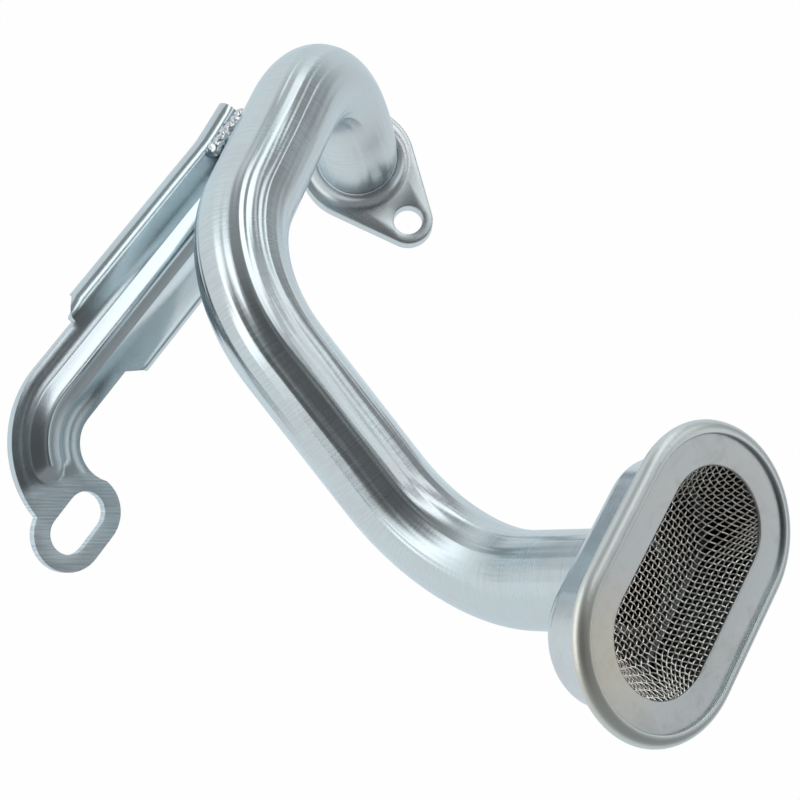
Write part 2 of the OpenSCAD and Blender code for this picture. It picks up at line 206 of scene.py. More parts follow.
MERGE = 1e-6  # vertices closer than this become one
SAME = 1e-7  # places closer than this count as one place
CLEARANCE = 0.00005  # round the tube, in the holes that it passes through
ROUND_STEPS = 96  # steps of a full turn
BEND_STEP = 2.5  # degrees that one step of a bend takes
NECK_EDGE = 0.0004  # width of the drawn neck's edge, which the flange's filler covers
FLANGE_FILLER = 0.0008  # height of the flange's filler
CUP_FILLER = (0.0018, 0.0026)  # width and height of the cup's filler
STAMPED_CORNER = 1.3  # radians past which a corner of the flange is rounded
FOLD_INSIDE = 0.0002  # inside radius of the folded rim
HEM_EDGE = 0.00025  # rounding of the folded rim's cut edge
RING_PLAY = 0.00004  # play between the ring plate and the folded rim

DISH_SOFT = 0.1  # softness of the corner between the screen's floor and wall, as a share of the wall
SCREEN_END = 1.03  # share of the wall at which the wires are cut
WIRE_LIFT = 0.52  # weave of a wire to each side, in wire diameters
WIRE_PARTS = 4  # steps of a wire between two crossings
WIRE_STUB = 3  # points of a piece of wire that is too short to keep
DRAPE_STEP = 0.00002  # step in which the screen's section is measured
SLOPE_STEP = 0.00015  # half of the step over which the screen's slope is measured
# Loose wires: start in plan, then middle and end, with heights above the start
LOOSE_WIRES = [
    ((0.0172, -0.0012), (0.0188, 0.0002, 0.0016), (0.0205, -0.0006, 0.0036)),
    ((0.0165, 0.0016), (0.0181, 0.0022, 0.0012), (0.0196, 0.0034, 0.0024)),
    ((0.0178, 0.0004), (0.0186, -0.0016, 0.0018), (0.0189, -0.0032, 0.0022)),
]

BEAD_STEPS = 28  # steps across the pressed bead
BEAD_CREST = 0.25  # roundness of the bead's crest
ARM_STEPS = 28  # steps along the channel
STRIP_STEPS = 6  # steps along the strip
ELBOW_STEPS = 24  # steps round the elbow
ELBOW_SWEPT = 72  # degrees of the elbow that are swept before the eye is filled in
TAIL_FLARE = 0.12  # spread of the channel's edge towards the tail
TAIL_FLARE_END = 0.004  # where that spread ends, along the arm
SEAT_ROD = 0.06  # length of the rod that cuts the arm's seat
WELD_NOISE = [(900, 5000, 0.0003), (2600, 9000, 0.00018)]  # fineness, shift and height
WELD_SINK = 0.0002  # how far the weld's surface sits below its full radius

# Changes of the zinc's colour: factors for red, green and blue, and one for all
DARK_CLOUD = (1.03, 0.97, 0.98), 0.94
LIGHT_CLOUD = (0.97, 1.01, 1.03), 1.04
GRIME = (0.9, 0.82, 0.7), 0.75
# painted shade: the inner walls of the cup and tube are darkened to a fifth, standing in for the shade inside them
PAINTED_INSIDE_SHADE = (1, 1, 1), 0.2
RUBBED = (1.01, 0.99, 0.96), 1.0
OILY = (1.12, 0.96, 0.72), 1.0
GLANCING_TINT = (0.88, 0.95, 1.0, 1.0)  # tint of the zinc at a low angle
INSIDE_ROUGH = 0.3  # roughness of the inner walls
RUBBED_ROUGH = 0.18  # roughness that rubbing adds
BRUSHED_ROUGH = 0.5  # roughness of the brushed eye
BRUSH_BEFORE, BRUSH_AFTER = 0.0008, 0.0016  # how far the brushed eye fades on each side of its start
BRUSH_GRAIN = (1 / 110, 1 / 3000, 1 / 110)  # size of the brush marks, along and across them
DRAW_GRAIN = (12, 260, 1)  # fineness of the draw lines, along the tube and round it
STAIN_SIDE, STAIN_REACH = 0.9, 1.4  # place across the strainer and reach of the oil stain, in mouth radii
STAIN_CORE = 0.25  # share of that reach inside which the stain is full

FLOOR_HALF = 5  # half of the floor's width
FLOOR_RUN = 6  # length of the floor up to its raised back
BACK_ROUND = 0.3  # radius of the raised back
BACK_RISE = 75  # degrees through which the back is raised
FLOOR_TURN = 105  # degrees by which the floor is turned about Z
FLOOR_COLOUR = (0.85, 0.85, 0.85, 1)
FLOOR_WHITE = 0.985  # share of plain white in the floor as it is seen
# Dark parts of the room: azimuth and elevation, then the cosines from the middle between which the dark sets in
DARK_SIDE = (308, 47), (0.72, 0.96)
DARK_OVERHEAD = (122, 76), (0.92, 0.985)
OVERHEAD_LEVEL = 0.3  # share of the room's light that is left overhead
LIT_PLACE = (0.06, 0.0, 0.07)
# Lamps: name, azimuth and elevation of each end, width, level and distance
LAMPS = [
    ("side lamp", (207, 2), (256, 60), 0.27, 1.0, 0.8),
    ("back lamp", (183, 18), (197, 75), 0.15, 0.95, 0.8),
    ("front lamp", (268, 2), (336, 2), 0.17, 0.95, 0.45),
    ("far lamp", (100, 43), (160, 43), 0.44, 0.5, 0.8),
]
CAMERA_PLACE = (0.2364, -0.1684, 0.3991)
CAMERA_RIGHT = (-0.463, 0.668, 0.583)
CAMERA_BACK = (0.400, -0.429, 0.810)
LENS, SENSOR = 90.0, 36.0  # millimetres


# Frames along the tube, each a place with its X, Y and Z directions


def tube_runs():
    """Straight length, turn and bend angle of each run from the strainer."""
    t = bpy.context.scene.pickup_tube
    return [[getattr(t, f"{size}_{i}") for size in ("straight", "turn", "bend")] for i in range(1, 5)]


def after_bend(place, run):
    """The frame at the end of a straight and the bend after it."""
    p, x, y, z = place
    straight, turn, bend = run
    radius = bpy.context.scene.pickup_tube.bend_radius
    side = x * math.cos(turn) + y * math.sin(turn)
    end = p + z * straight + (side * (1 - math.cos(bend)) + z * math.sin(bend)) * radius
    new_x = side * math.cos(bend) - z * math.sin(bend)
    new_z = side * math.sin(bend) + z * math.cos(bend)
    return (end, new_x, new_z.cross(new_x), new_z)


def tube_frames():
    """Frames at the cup's floor, after each bend and at the mating face, which is the origin."""
    scene = bpy.context.scene
    start = (Vector((0, 0, -scene.strainer.depth)), Vector((1, 0, 0)), Vector((0, -1, 0)), Vector((0, 0, -1)))
    places = [start]
    for run in tube_runs():
        places.append(after_bend(places[-1], run))
    p, x, y, z = places[-1]
    places.append((p + z * scene.pickup_tube.straight_5, x, y, z))
    origin = places[-1][0].copy()
    return [(p - origin, x, y, z) for p, x, y, z in places]


def frame_matrix(place):
    """A frame as a matrix."""
    p, x, y, z = place
    matrix = Matrix((x, y, z)).transposed().to_4x4()
    matrix.translation = p
    return matrix


def mouth_matrix():
    """The strainer's frame, at the centre of its mouth."""
    floor = tube_frames()[0][0]
    return Matrix.Translation(floor + Vector((0, 0, bpy.context.scene.strainer.depth)))


# Making pieces


def linked(name, data):
    """A new object in the scene for a mesh, curve, lamp or camera."""
    made = bpy.data.objects.new(name, data)
    bpy.context.scene.collection.objects.link(made)
    return made


def mesh_object(name, bm):
    """A new object in the scene that takes over a bmesh."""
    mesh = bpy.data.meshes.new(name)
    bm.to_mesh(mesh)
    bm.free()
    return linked(name, mesh)


def taken_back(carrier):
    """A bmesh of an object as its curve or modifiers shape it, in place of the object."""
    made = bpy.data.meshes.new_from_object(carrier.evaluated_get(bpy.context.evaluated_depsgraph_get()))
    bm = bmesh.new()
    bm.from_mesh(made)
    bpy.data.objects.remove(carrier)
    bpy.data.meshes.remove(made)
    return bm


def shaped(bm, modifiers):
    """The bmesh after a row of modifiers."""
    blank = mesh_object("blank", bm)
    for kind, settings in modifiers:
        modifier = blank.modifiers.new(kind.lower(), kind)
        for key, value in settings.items():
            setattr(modifier, key, value)
    return taken_back(blank)


def finish_piece(bm, name, node, material, smooth=35.0, matrix=None, outward=True):
    """Turns a bmesh into a shown piece that stands for a CAD node."""
    if matrix is not None:
        bmesh.ops.transform(bm, matrix=matrix, verts=bm.verts)
    bmesh.ops.remove_doubles(bm, verts=bm.verts, dist=MERGE)
    if outward:
        bmesh.ops.recalc_face_normals(bm, faces=bm.faces)
    limit = math.radians(smooth)
    for face in bm.faces:
        face.smooth = True
    for edge in bm.edges:
        if len(edge.link_faces) != 2 or edge.calc_face_angle(0) > limit:
            edge.smooth = False
    piece = mesh_object(name, bm)
    piece.data.materials.append(material)
    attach(piece, "root")
    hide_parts(node)


def parted(made):
    """The vertices and the edges among what an operator made."""
    verts = [g for g in made if isinstance(g, bmesh.types.BMVert)]
    edges = [g for g in made if isinstance(g, bmesh.types.BMEdge)]
    return verts, edges


def nearest(verts, place):
    """The vertex nearest to a place."""
    return min(verts, key=lambda v: (v.co - place).length)


def ring_of(bm, radius, segments=ROUND_STEPS):
    """A circle of vertices round the Z axis, with its edges."""
    verts = bmesh.ops.create_circle(bm, cap_ends=False, segments=segments, radius=radius)["verts"]
    return verts, list(dict.fromkeys(e for v in verts for e in v.link_edges))


def chain_of(bm, points):
    """A chain of vertices and edges through points."""
    verts = [bm.verts.new(p) for p in points]
    return verts, [bm.edges.new((a, b)) for a, b in zip(verts, verts[1:])]


def extrude_row(bm, edges, shift):
    """Extrudes a row of edges and returns the new row."""
    verts, made = parted(bmesh.ops.extrude_edge_only(bm, edges=edges)["geom"])
    new = set(verts)
    bmesh.ops.translate(bm, verts=verts, vec=shift)
    return verts, [e for e in made if all(v in new for v in e.verts)]


def spin_row(bm, verts, edges, centre, axis, angle, steps):
    """Spins a row of vertices and edges and returns the last row."""
    made = bmesh.ops.spin(bm, geom=verts + edges, cent=centre, axis=axis, angle=angle, steps=steps, use_merge=False,
                          use_duplicate=False)
    return parted(made["geom_last"])


def spin_round(bm, verts, edges):
    """Spins a section full circle round the Z axis."""
    bmesh.ops.spin(bm, geom=verts + edges, cent=(0, 0, 0), axis=(0, 0, 1), angle=2 * math.pi, steps=ROUND_STEPS,
                   use_merge=True)


def arc(centre, radius, start, end, steps):
    """Pairs of numbers along an arc, angles in degrees."""
    step = (end - start) / steps
    angles = [math.radians(start + step * i) for i in range(steps + 1)]
    return [(centre[0] + radius * math.cos(a), centre[1] + radius * math.sin(a)) for a in angles]


def plan_arc(*sizes):
    """Points of an arc in plan."""
    return [Vector((x, y, 0)) for x, y in arc(*sizes)]


def sweep_obround(bm, section, half, marks=()):
    """Sweeps a section, drawn as radius and height, round the plan, with marked stretches of its points."""
    layers = [(bm.verts.layers.float.new(name), first, last) for name, first, last in marks]
    verts, edges = chain_of(bm, [(half + r, 0, z) for r, z in section])
    for layer, first, last in layers:
        for v in verts[first:last]:
            v[layer] = 1.0
    bmesh.ops.rotate(bm, verts=verts, cent=(half, 0, 0), matrix=Matrix.Rotation(-math.pi / 2, 3, "Z"))
    for centre, way in ((half, -1), (-half, 1)):
        verts, edges = spin_row(bm, verts, edges, (centre, 0, 0), (0, 0, 1), math.pi, ROUND_STEPS // 2)
        verts, edges = extrude_row(bm, edges, (way * 2 * half, 0, 0))
    bmesh.ops.remove_doubles(bm, verts=bm.verts, dist=MERGE)


# Finishes


class Nodes:
    """Adds nodes to the tree of a material or world, mostly giving back the socket of what a node makes."""

    def __init__(self, owner):
        owner.use_nodes = True
        self.tree = owner.node_tree

    def add(self, kind, inputs=None, **settings):
        """A new node, with each input set to a value or linked to a socket."""
        made = self.tree.nodes.new("ShaderNode" + kind)
        for key, value in settings.items():
            setattr(made, key, value)
        for key, value in (inputs or {}).items():
            if isinstance(value, bpy.types.NodeSocket):
                self.tree.links.new(value, made.inputs[key])
            else:
                made.inputs[key].default_value = value
        return made

    def noise(self, place, scale=1.0, detail=2.0, rough=0.5, distortion=0.0):
        """Cloudy noise."""
        made = self.add("TexNoise", {"Vector": place, "Scale": scale, "Detail": detail, "Roughness": rough,
                                     "Distortion": distortion})
        return made.outputs["Fac"]

    def mapped(self, place, scale, turn=(0, 0, 0), **settings):
        """A place, scaled and turned."""
        made = self.add("Mapping", {"Vector": place, "Scale": scale, "Rotation": turn}, **settings)
        return made.outputs["Vector"]

    def ranged(self, value, ends=(0.0, 1.0), to=(0.0, 1.0), **settings):
        """A value carried over from between two ends to between two others."""
        made = self.add("MapRange", {"Value": value, "From Min": ends[0], "From Max": ends[1], "To Min": to[0],
                                     "To Max": to[1]}, **settings)
        return made.outputs["Result"]

    def math(self, operation, a, b):
        """Two values put together."""
        return self.add("Math", {0: a, 1: b}, operation=operation).outputs["Value"]

    def vector(self, operation, a, b):
        """A value from two vectors."""
        return self.add("VectorMath", {0: a, 1: b}, operation=operation).outputs["Value"]

    def coat(self, cover, under, over, way="MIX"):
        """One colour over another."""
        made = self.add("Mix", {"Factor": cover, 6: under, 7: over}, data_type="RGBA", blend_type=way)
        return made.outputs[2]

    def bump(self, normal, height, strength, distance):
        """A normal with a relief on it."""
        made = self.add("Bump", {"Height": height, "Strength": strength, "Distance": distance, "Normal": normal})
        return made.outputs["Normal"]


def toned(tint, parts, level):
    """A colour with its parts and its level changed by factors, with alpha."""
    return tuple(c * part * level for c, part in zip(tint, parts)) + (1.0,)


def zinc(name, tint, rough, spread, grain_scale, grain_depth, contrast=0.07, use_uv=False, smudge=0.0, edge=0.00025,
         stretch=0.0, draw_lines=0.0, dull_and_painted_shade_inside=False, rubbed=False, brushed=None, stain=None):
    """Zinc plate: soft cloudy brightness, fine grain along one way and a little wear, with painted shade on the
    inner walls where asked.
    """
    material = bpy.data.materials.new(name)
    nodes = Nodes(material)
    shader = nodes.tree.nodes["Principled BSDF"]
    shader.inputs["Metallic"].default_value = 1.0
    shader.inputs["Specular Tint"].default_value = GLANCING_TINT
    coords = nodes.add("TexCoord").outputs
    here = coords["Object"]
    place = coords["UV"] if use_uv else here
    clouds = nodes.noise(here, scale=55.0, detail=4.0, rough=0.55)
    grain = nodes.noise(nodes.mapped(place, grain_scale), detail=3.0, rough=0.6)
    speck = nodes.noise(here, scale=2600.0)
    tone = nodes.add("ValToRGB", {"Fac": clouds})
    for stop, position, change in zip(tone.color_ramp.elements, (0.3, 0.72), (DARK_CLOUD, LIGHT_CLOUD)):
        stop.position = position
        stop.color = toned(tint, *change)
    fine = nodes.ranged(grain, (0.25, 0.75), (1 - contrast, 1 + contrast))
    colour_last = nodes.coat(1.0, tone.outputs["Color"], fine, "MULTIPLY")
    if smudge:
        marks = nodes.noise(here, scale=160.0, detail=5.0, rough=0.65, distortion=0.8)
        cover = nodes.ranged(marks, (0.52, 0.7), (0.0, smudge))
        colour_last = nodes.coat(cover, colour_last, toned(tint, *GRIME))
    uneven = nodes.math("ADD", clouds, grain)
    rough_last = nodes.ranged(uneven, (0.6, 1.4), (rough - spread, rough + spread))
    # Painted shade: the marked inner walls have their colour darkened to a fifth, for the shade inside the cup and
    # tube, and are also made rougher
    if dull_and_painted_shade_inside:
        inside = nodes.add("Attribute", attribute_name="inside").outputs["Fac"]
        colour_last = nodes.coat(inside, colour_last, toned(tint, *PAINTED_INSIDE_SHADE))
        rough_last = nodes.ranged(inside, to=(rough_last, INSIDE_ROUGH))
    if rubbed:
        rub = nodes.add("Attribute", attribute_name="rubbed").outputs["Fac"]
        colour_last = nodes.coat(rub, colour_last, toned(tint, *RUBBED))
        rough_last = nodes.ranged(rub, to=(rough_last, rough + RUBBED_ROUGH))
    if stain:
        middle, reach = stain
        away = nodes.vector("DISTANCE", here, middle)
        cover = nodes.math("MULTIPLY", nodes.ranged(away, (reach, reach * STAIN_CORE)), clouds)
        if rubbed:
            cover = nodes.math("MULTIPLY", cover, rub)
        colour_last = nodes.coat(cover, colour_last, toned(tint, *OILY))
    normal = nodes.add("Bevel", {"Radius": edge}, samples=4).outputs["Normal"]
    if brushed:
        way, start, turn = brushed
        ends = (start - BRUSH_BEFORE, start + BRUSH_AFTER)
        mask = nodes.ranged(nodes.vector("DOT_PRODUCT", here, way), ends)
        along = nodes.mapped(here, BRUSH_GRAIN, turn=(0, 0, turn), vector_type="TEXTURE")
        scratch = nodes.noise(along)
        streaks = nodes.ranged(scratch, (0.3, 0.7), (0.95, 1.4))
        colour_last = nodes.coat(mask, colour_last, streaks, "MULTIPLY")
        rough_last = nodes.ranged(mask, to=(rough_last, BRUSHED_ROUGH))
        marks = nodes.math("MULTIPLY", scratch, mask)
        normal = nodes.bump(normal, marks, strength=0.5, distance=0.0001)
    if draw_lines:
        drawn = nodes.noise(nodes.mapped(place, DRAW_GRAIN), rough=0.45)
        normal = nodes.bump(normal, drawn, strength=draw_lines, distance=0.0008)
    normal = nodes.bump(normal, grain, strength=grain_depth, distance=0.0002)
    normal = nodes.bump(normal, speck, strength=grain_depth * 0.5, distance=0.0001)
    results = {"Base Color": colour_last, "Roughness": rough_last, "Normal": normal}
    if stretch:
        shader.inputs["Anisotropic"].default_value = stretch
        results["Tangent"] = nodes.add("Tangent", direction_type="UV_MAP").outputs["Tangent"]
    for key, socket in results.items():
        nodes.tree.links.new(socket, shader.inputs[key])
    return material


# Pieces


def tag_ring(bm, verts, along):
    """Notes how far along the tube a ring of vertices lies."""
    layer = bm.verts.layers.float["along"]
    for v in verts:
        v[layer] = along


def sweep_tube(bm, radius):
    """Sweeps one wall of the tube from inside the cup to the mating face; gives its end loops and its length."""
    t = bpy.context.scene.pickup_tube
    places = tube_frames()
    start = places[0][3] * t.inside
    verts, edges = ring_of(bm, radius)
    first = edges
    turned = bm.verts.layers.float["around"]
    for v in verts:
        v[turned] = math.atan2(v.co.y, v.co.x) / (2 * math.pi) + 0.5
    bmesh.ops.transform(bm, matrix=frame_matrix(places[0]), verts=verts)
    bmesh.ops.translate(bm, verts=verts, vec=-start)
    tag_ring(bm, verts, -t.inside)
    verts, edges = extrude_row(bm, edges, start)
    along = 0.0
    tag_ring(bm, verts, along)
    for (p, x, y, z), (straight, turn, bend) in zip(places, tube_runs()):
        for half in range(2):
            verts, edges = extrude_row(bm, edges, z * straight / 2)
            along += straight / 2
            tag_ring(bm, verts, along)
        side = x * math.cos(turn) + y * math.sin(turn)
        centre = p + z * straight + side * t.bend_radius
        steps = max(6, round(math.degrees(bend) / BEND_STEP))
        for step in range(steps):
            verts, edges = spin_row(bm, verts, edges, centre, z.cross(side), bend / steps, 1)
            along += t.bend_radius * bend / steps
            tag_ring(bm, verts, along)
    verts, edges = extrude_row(bm, edges, places[4][3] * t.straight_5)
    along += t.straight_5
    tag_ring(bm, verts, along)
    return first, edges, along


def scale_ring(bm, verts, centre, axis, factor):
    """Scales a ring of vertices about the tube's axis."""
    turn = axis.to_track_quat("Z", "Y").to_matrix().to_4x4()
    bmesh.ops.scale(bm, verts=verts, vec=(factor, factor, 1), space=turn.inverted() @ Matrix.Translation(-centre))


class PICKUP_OT_tube(bpy.types.Operator):
    """Bent tube, hollow, with its sized and chamfered spigot"""

    bl_idname = "pickup.tube"
    bl_label = "Pickup tube"

    def execute(self, context):
        t = context.scene.pickup_tube
        radius = t.diameter / 2
        spigot = radius - t.spigot_draw
        axis = tube_frames()[-1][3]
        bm = bmesh.new()
        for name in ("along", "around", "inside"):
            bm.verts.layers.float.new(name)
        first_out, edges, along = sweep_tube(bm, radius)
        here = Vector((0, 0, 0))
        for shift, old, new in [
            (0.0, radius, spigot),
            (t.spigot - t.chamfer, spigot, spigot),
            (t.chamfer, spigot, spigot - t.chamfer),
        ]:
            verts, edges = extrude_row(bm, edges, axis * shift)
            here = here + axis * shift
            along += shift
            tag_ring(bm, verts, along)
            scale_ring(bm, verts, here, axis, new / old)
        outer_wall = set(bm.verts)
        first_in, edges_in, along = sweep_tube(bm, radius - t.wall)
        verts, edges_in = extrude_row(bm, edges_in, axis * t.spigot)
        tag_ring(bm, verts, along + t.spigot)
        inside = bm.verts.layers.float["inside"]
        for v in bm.verts:
            v[inside] = 0.0 if v in outer_wall else 1.0
        bmesh.ops.bridge_loops(bm, edges=first_out + first_in)
        bmesh.ops.bridge_loops(bm, edges=edges + edges_in)
        uv = bm.loops.layers.uv.new("Along the tube")
        far, turned = bm.verts.layers.float["along"], bm.verts.layers.float["around"]
        for face in bm.faces:
            around = [loop.vert[turned] for loop in face.loops]
            wrap = max(around) - min(around) > 0.5
            for loop, a in zip(face.loops, around):
                loop[uv].uv = (loop.vert[far], (a + 1 if wrap and a < 0.5 else a) * math.pi * t.diameter)
        # The tube's inner wall is darkened in its finish as painted shade
        material = zinc("bright zinc tube", context.scene.finishes.tube, rough=0.25, spread=0.05,
                        grain_scale=(2600, 90, 1), grain_depth=0.012, use_uv=True, stretch=0.85, draw_lines=0.9,
                        dull_and_painted_shade_inside=True)
        finish_piece(bm, "bent_tube", "pickup_tube", material)
        return {"FINISHED"}


class PICKUP_OT_flange(bpy.types.Operator):
    """Stamped flange with a bolt ear and a drawn neck"""

    bl_idname = "pickup.flange"
    bl_label = "Block flange"

    def execute(self, context):
        f = context.scene.flange
        tube = context.scene.pickup_tube.diameter / 2
        lean = math.asin((f.pad - f.ear) / f.reach)
        bm = bmesh.new()
        pad_start = Vector((f.pad * math.sin(lean), f.pad * math.cos(lean), 0))
        ear_end = Vector((f.reach + f.ear * math.sin(lean), f.ear * math.cos(lean), 0))
        seed = bm.verts.new(pad_start)
        spin_row(bm, [seed], [], (0, 0, 0), (0, 0, 1), math.pi + 2 * lean, 72)
        pad_end = nearest(bm.verts, Vector((pad_start.x, -pad_start.y, 0)))
        ear_seed = bm.verts.new((ear_end.x, -ear_end.y, 0))
        spin_row(bm, [ear_seed], [], (f.reach, 0, 0), (0, 0, 1), math.pi - 2 * lean, 40)
        ear_last = nearest(bm.verts, ear_end)
        bm.edges.new((pad_end, ear_seed))
        bm.edges.new((ear_last, seed))
        bolt = ring_of(bm, f.hole / 2, segments=48)[0]
        bmesh.ops.translate(bm, verts=bolt, vec=(f.reach, 0, 0))
        neck_foot = tube + NECK_EDGE + f.fillet
        foot_edges = set(ring_of(bm, neck_foot)[1])
        bmesh.ops.triangle_fill(bm, use_beauty=True, edges=list(bm.edges))
        sides = [e for e in bm.edges if e.is_boundary and e not in foot_edges]
        extrude_row(bm, sides, (0, 0, f.thickness))
        bore = tube + CLEARANCE
        section = arc((neck_foot, -f.fillet), f.fillet, 90, 180, 10) + [(bore, -f.fillet), (bore, f.thickness)]
        spin_round(bm, *chain_of(bm, [(r, 0, z) for r, z in section]))
        bmesh.ops.remove_doubles(bm, verts=bm.verts, dist=MERGE)
        bmesh.ops.triangle_fill(bm, use_beauty=True, edges=[e for e in bm.edges if e.is_boundary])
        bmesh.ops.recalc_face_normals(bm, faces=bm.faces)
        sharp = [e for e in bm.edges if len(e.link_faces) == 2 and e.calc_face_angle(0) > STAMPED_CORNER
                 and min(v.co.xy.length for v in e.verts) > neck_foot]
        bmesh.ops.bevel(bm, geom=sharp, offset=f.edge, affect="EDGES", segments=3, profile=0.5, material=-1,
                        clamp_overlap=True)
        turn = Matrix.Rotation(f.ear_turn, 4, "Z")
        place = frame_matrix(tube_frames()[-1]) @ turn @ Matrix.Translation((0, 0, -f.thickness))
        material = zinc("brushed zinc flange", context.scene.finishes.flange, rough=0.3, spread=0.06,
                        grain_scale=(4500, 4500, 4500), grain_depth=0.08, contrast=0.09)
        finish_piece(bm, "flange_plate", "block_flange", material, matrix=place, smooth=40)
        return {"FINISHED"}


class PICKUP_OT_filler(bpy.types.Operator):
    """Rings of filler between the tube and what it is brazed to"""

    bl_idname = "pickup.filler"
    bl_label = "Filler rings"

    def execute(self, context):
        scene = context.scene
        radius = scene.pickup_tube.diameter / 2
        neck = scene.flange.thickness + scene.flange.fillet
        places = tube_frames()
        p, x, y, z = places[-1]
        rings = [
            ("flange_filler", "flange_braze", (p - z * neck, x, -y, -z), NECK_EDGE, FLANGE_FILLER),
            ("cup_filler", "cup_braze", places[0], *CUP_FILLER),
        ]
        material = zinc("plated filler", scene.finishes.filler, rough=0.22, spread=0.06,
                        grain_scale=(700, 700, 700), grain_depth=0.3)
        turns = [math.pi / 2 * i / 8 for i in range(9)]
        for name, node, place, wide, tall in rings:
            bm = bmesh.new()
            hollow = [(radius + wide * (1 - math.sin(u)), 0, tall * (1 - math.cos(u))) for u in turns]
            verts, edges = chain_of(bm, [(radius, 0, 0)] + hollow)
            edges.append(bm.edges.new((verts[-1], verts[0])))
            spin_round(bm, verts, edges)
            finish_piece(bm, name, node, material, matrix=frame_matrix(place), smooth=60)
        return {"FINISHED"}


def strainer_fits():
    """Radii across the strainer and heights of its folded rim, from the mouth plane."""
    s = bpy.context.scene.strainer
    lip = s.mouth + s.lip_width
    screen = lip + s.screen_room
    cup = screen + s.screen_sheet + s.screen_room + s.sheet
    low = -s.ring_sheet - s.screen_sheet - s.sheet
    fold = s.sheet + FOLD_INSIDE
    fold_z, fold_c = low + fold, cup + s.rim - fold
    fall = s.hem_fall
    hem_bend = fold_c + (fold + (fold_z - s.sheet) * math.cos(fall)) / math.sin(fall)
    return {
        "lip": lip,
        "screen": screen,
        "cup": cup,
        "low": low,
        "fold": fold,
        "fold_z": fold_z,
        "fold_c": fold_c,
        "hem": cup + s.rim - s.hem,
        "hem_inner": hem_bend - s.sheet * math.tan(fall / 2),
    }


def stained_end():
    """Middle and reach of the warm oil stain at the strainer's far end."""
    s = bpy.context.scene.strainer
    middle = Vector((s.side + s.mouth, -s.mouth * STAIN_SIDE, 0))
    return mouth_matrix().translation + middle, STAIN_REACH * s.mouth


class PICKUP_OT_cup(bpy.types.Operator):
    """Drawn strainer cup whose rim is folded over the ring plate"""

    bl_idname = "pickup.cup"
    bl_label = "Strainer cup"

    def execute(self, context):
        s = context.scene.strainer
        d = strainer_fits()
        cup, sheet, fold = d["cup"], s.sheet, d["fold"]
        floor_c = (cup - s.corner, s.corner - s.depth)
        turn_c = (cup + sheet, d["low"] - sheet)
        fold_c = (d["fold_c"], d["fold_z"])
        upper = 90 - math.degrees(s.hem_fall)
        top = d["hem"] + HEM_EDGE
        wide, tall = d["fold_c"] - top, sheet - d["fold_z"]
        crown = (wide**2 + tall**2 - fold**2) / (2 * (tall - fold))
        meeting = math.degrees(math.atan2(crown - tall, wide))
        wall = arc(floor_c, s.corner, -90, 0, 10) + arc(turn_c, sheet, 180, 90, 6) + arc(fold_c, fold, -90, -10, 9)
        hem = arc((top, sheet - crown), crown, meeting, 90, 14) + arc((top, sheet - HEM_EDGE), HEM_EDGE, 100, 180, 4)
        under = [(d["hem"], 0), (d["hem_inner"], 0)] + arc(fold_c, fold - sheet, upper, -90, 10)
        hidden = arc(turn_c, 2 * sheet, 90, 180, 8) + arc(floor_c, s.corner - sheet, 0, -90, 8)
        bm = bmesh.new()
        shown = wall + hem + under
        sweep_obround(bm, shown + hidden, s.side, marks=[("inside", len(shown), len(shown + hidden)),
                                                         ("rubbed", len(wall), len(wall + hem))])
        inside = bm.verts.layers.float["inside"]
        holes = []
        for height in (-s.depth, sheet - s.depth):
            rim = [e for e in bm.edges if e.is_boundary and all(abs(v.co.z - height) < SAME for v in e.verts)]
            verts, edges = ring_of(bm, context.scene.pickup_tube.diameter / 2 + CLEARANCE)
            bmesh.ops.translate(bm, verts=verts, vec=(0, 0, height))
            for v in verts:
                v[inside] = 1.0 if height > -s.depth else 0.0
            holes += edges
            bmesh.ops.triangle_fill(bm, use_beauty=True, edges=rim + edges)
        bmesh.ops.bridge_loops(bm, edges=holes)
        # The cup's marked inner walls are darkened in its finish as painted shade
        material = zinc("satin zinc cup", context.scene.finishes.cup, rough=0.22, spread=0.04,
                        grain_scale=(1500, 1500, 1500), grain_depth=0.04, contrast=0.03, smudge=0.2,
                        dull_and_painted_shade_inside=True, rubbed=True, stain=stained_end())
        finish_piece(bm, "cup_shell", "strainer_cup", material, matrix=mouth_matrix(), smooth=40)
        return {"FINISHED"}


class PICKUP_OT_ring(bpy.types.Operator):
    """Ring plate with a thin rounded edge round the mouth"""

    bl_idname = "pickup.ring"
    bl_label = "Ring plate"

    def execute(self, context):
        s = context.scene.strainer
        d = strainer_fits()
        sheet = s.ring_sheet
        outer = d["hem_inner"] - RING_PLAY
        edge_c = s.mouth + s.lip_round
        section = (
            [(outer, 0), (outer, -sheet), (d["screen"] + sheet / 2, -sheet), (d["lip"], -sheet / 2)]
            + [(edge_c, -sheet / 2)] + arc((edge_c, -s.lip_round), s.lip_round, 240, 90, 10) + [(outer, 0)]
        )
        bm = bmesh.new()
        sweep_obround(bm, section, s.side)
        material = zinc("satin zinc ring", context.scene.finishes.ring, rough=0.36, spread=0.06,
                        grain_scale=(1200, 1200, 1200), grain_depth=0.08, contrast=0.04, smudge=0.4,
                        stain=stained_end())
        finish_piece(bm, "mouth_ring", "ring_plate", material, matrix=mouth_matrix(), smooth=40)
        return {"FINISHED"}


def dish_share(x, y):
    """How far up the dish's wall a point in plan lies: below 0 on the floor, 1 at the screen's upper edge."""
    s = bpy.context.scene.strainer
    top = s.mouth + s.screen_reach
    low, high = -1.5, 2.0
    # Found by halving
    for _ in range(40):
        t = (low + high) / 2
        half = s.floor_side + (s.side - s.floor_side) * t
        reach = math.hypot(max(abs(x) - max(half, 0.0), 0.0), y)
        if reach > s.floor + (top - s.floor) * t:
            low = t
        else:
            high = t
    return high


def dish_height(x, y):
    """Height of the screen, with a soft corner between floor and wall, and the share of the wall."""
    s = bpy.context.scene.strainer
    t = dish_share(x, y)
    rise = DISH_SOFT * math.log1p(math.exp(t / DISH_SOFT))
    return -s.dish + (s.dish - s.screen_top) * rise, t


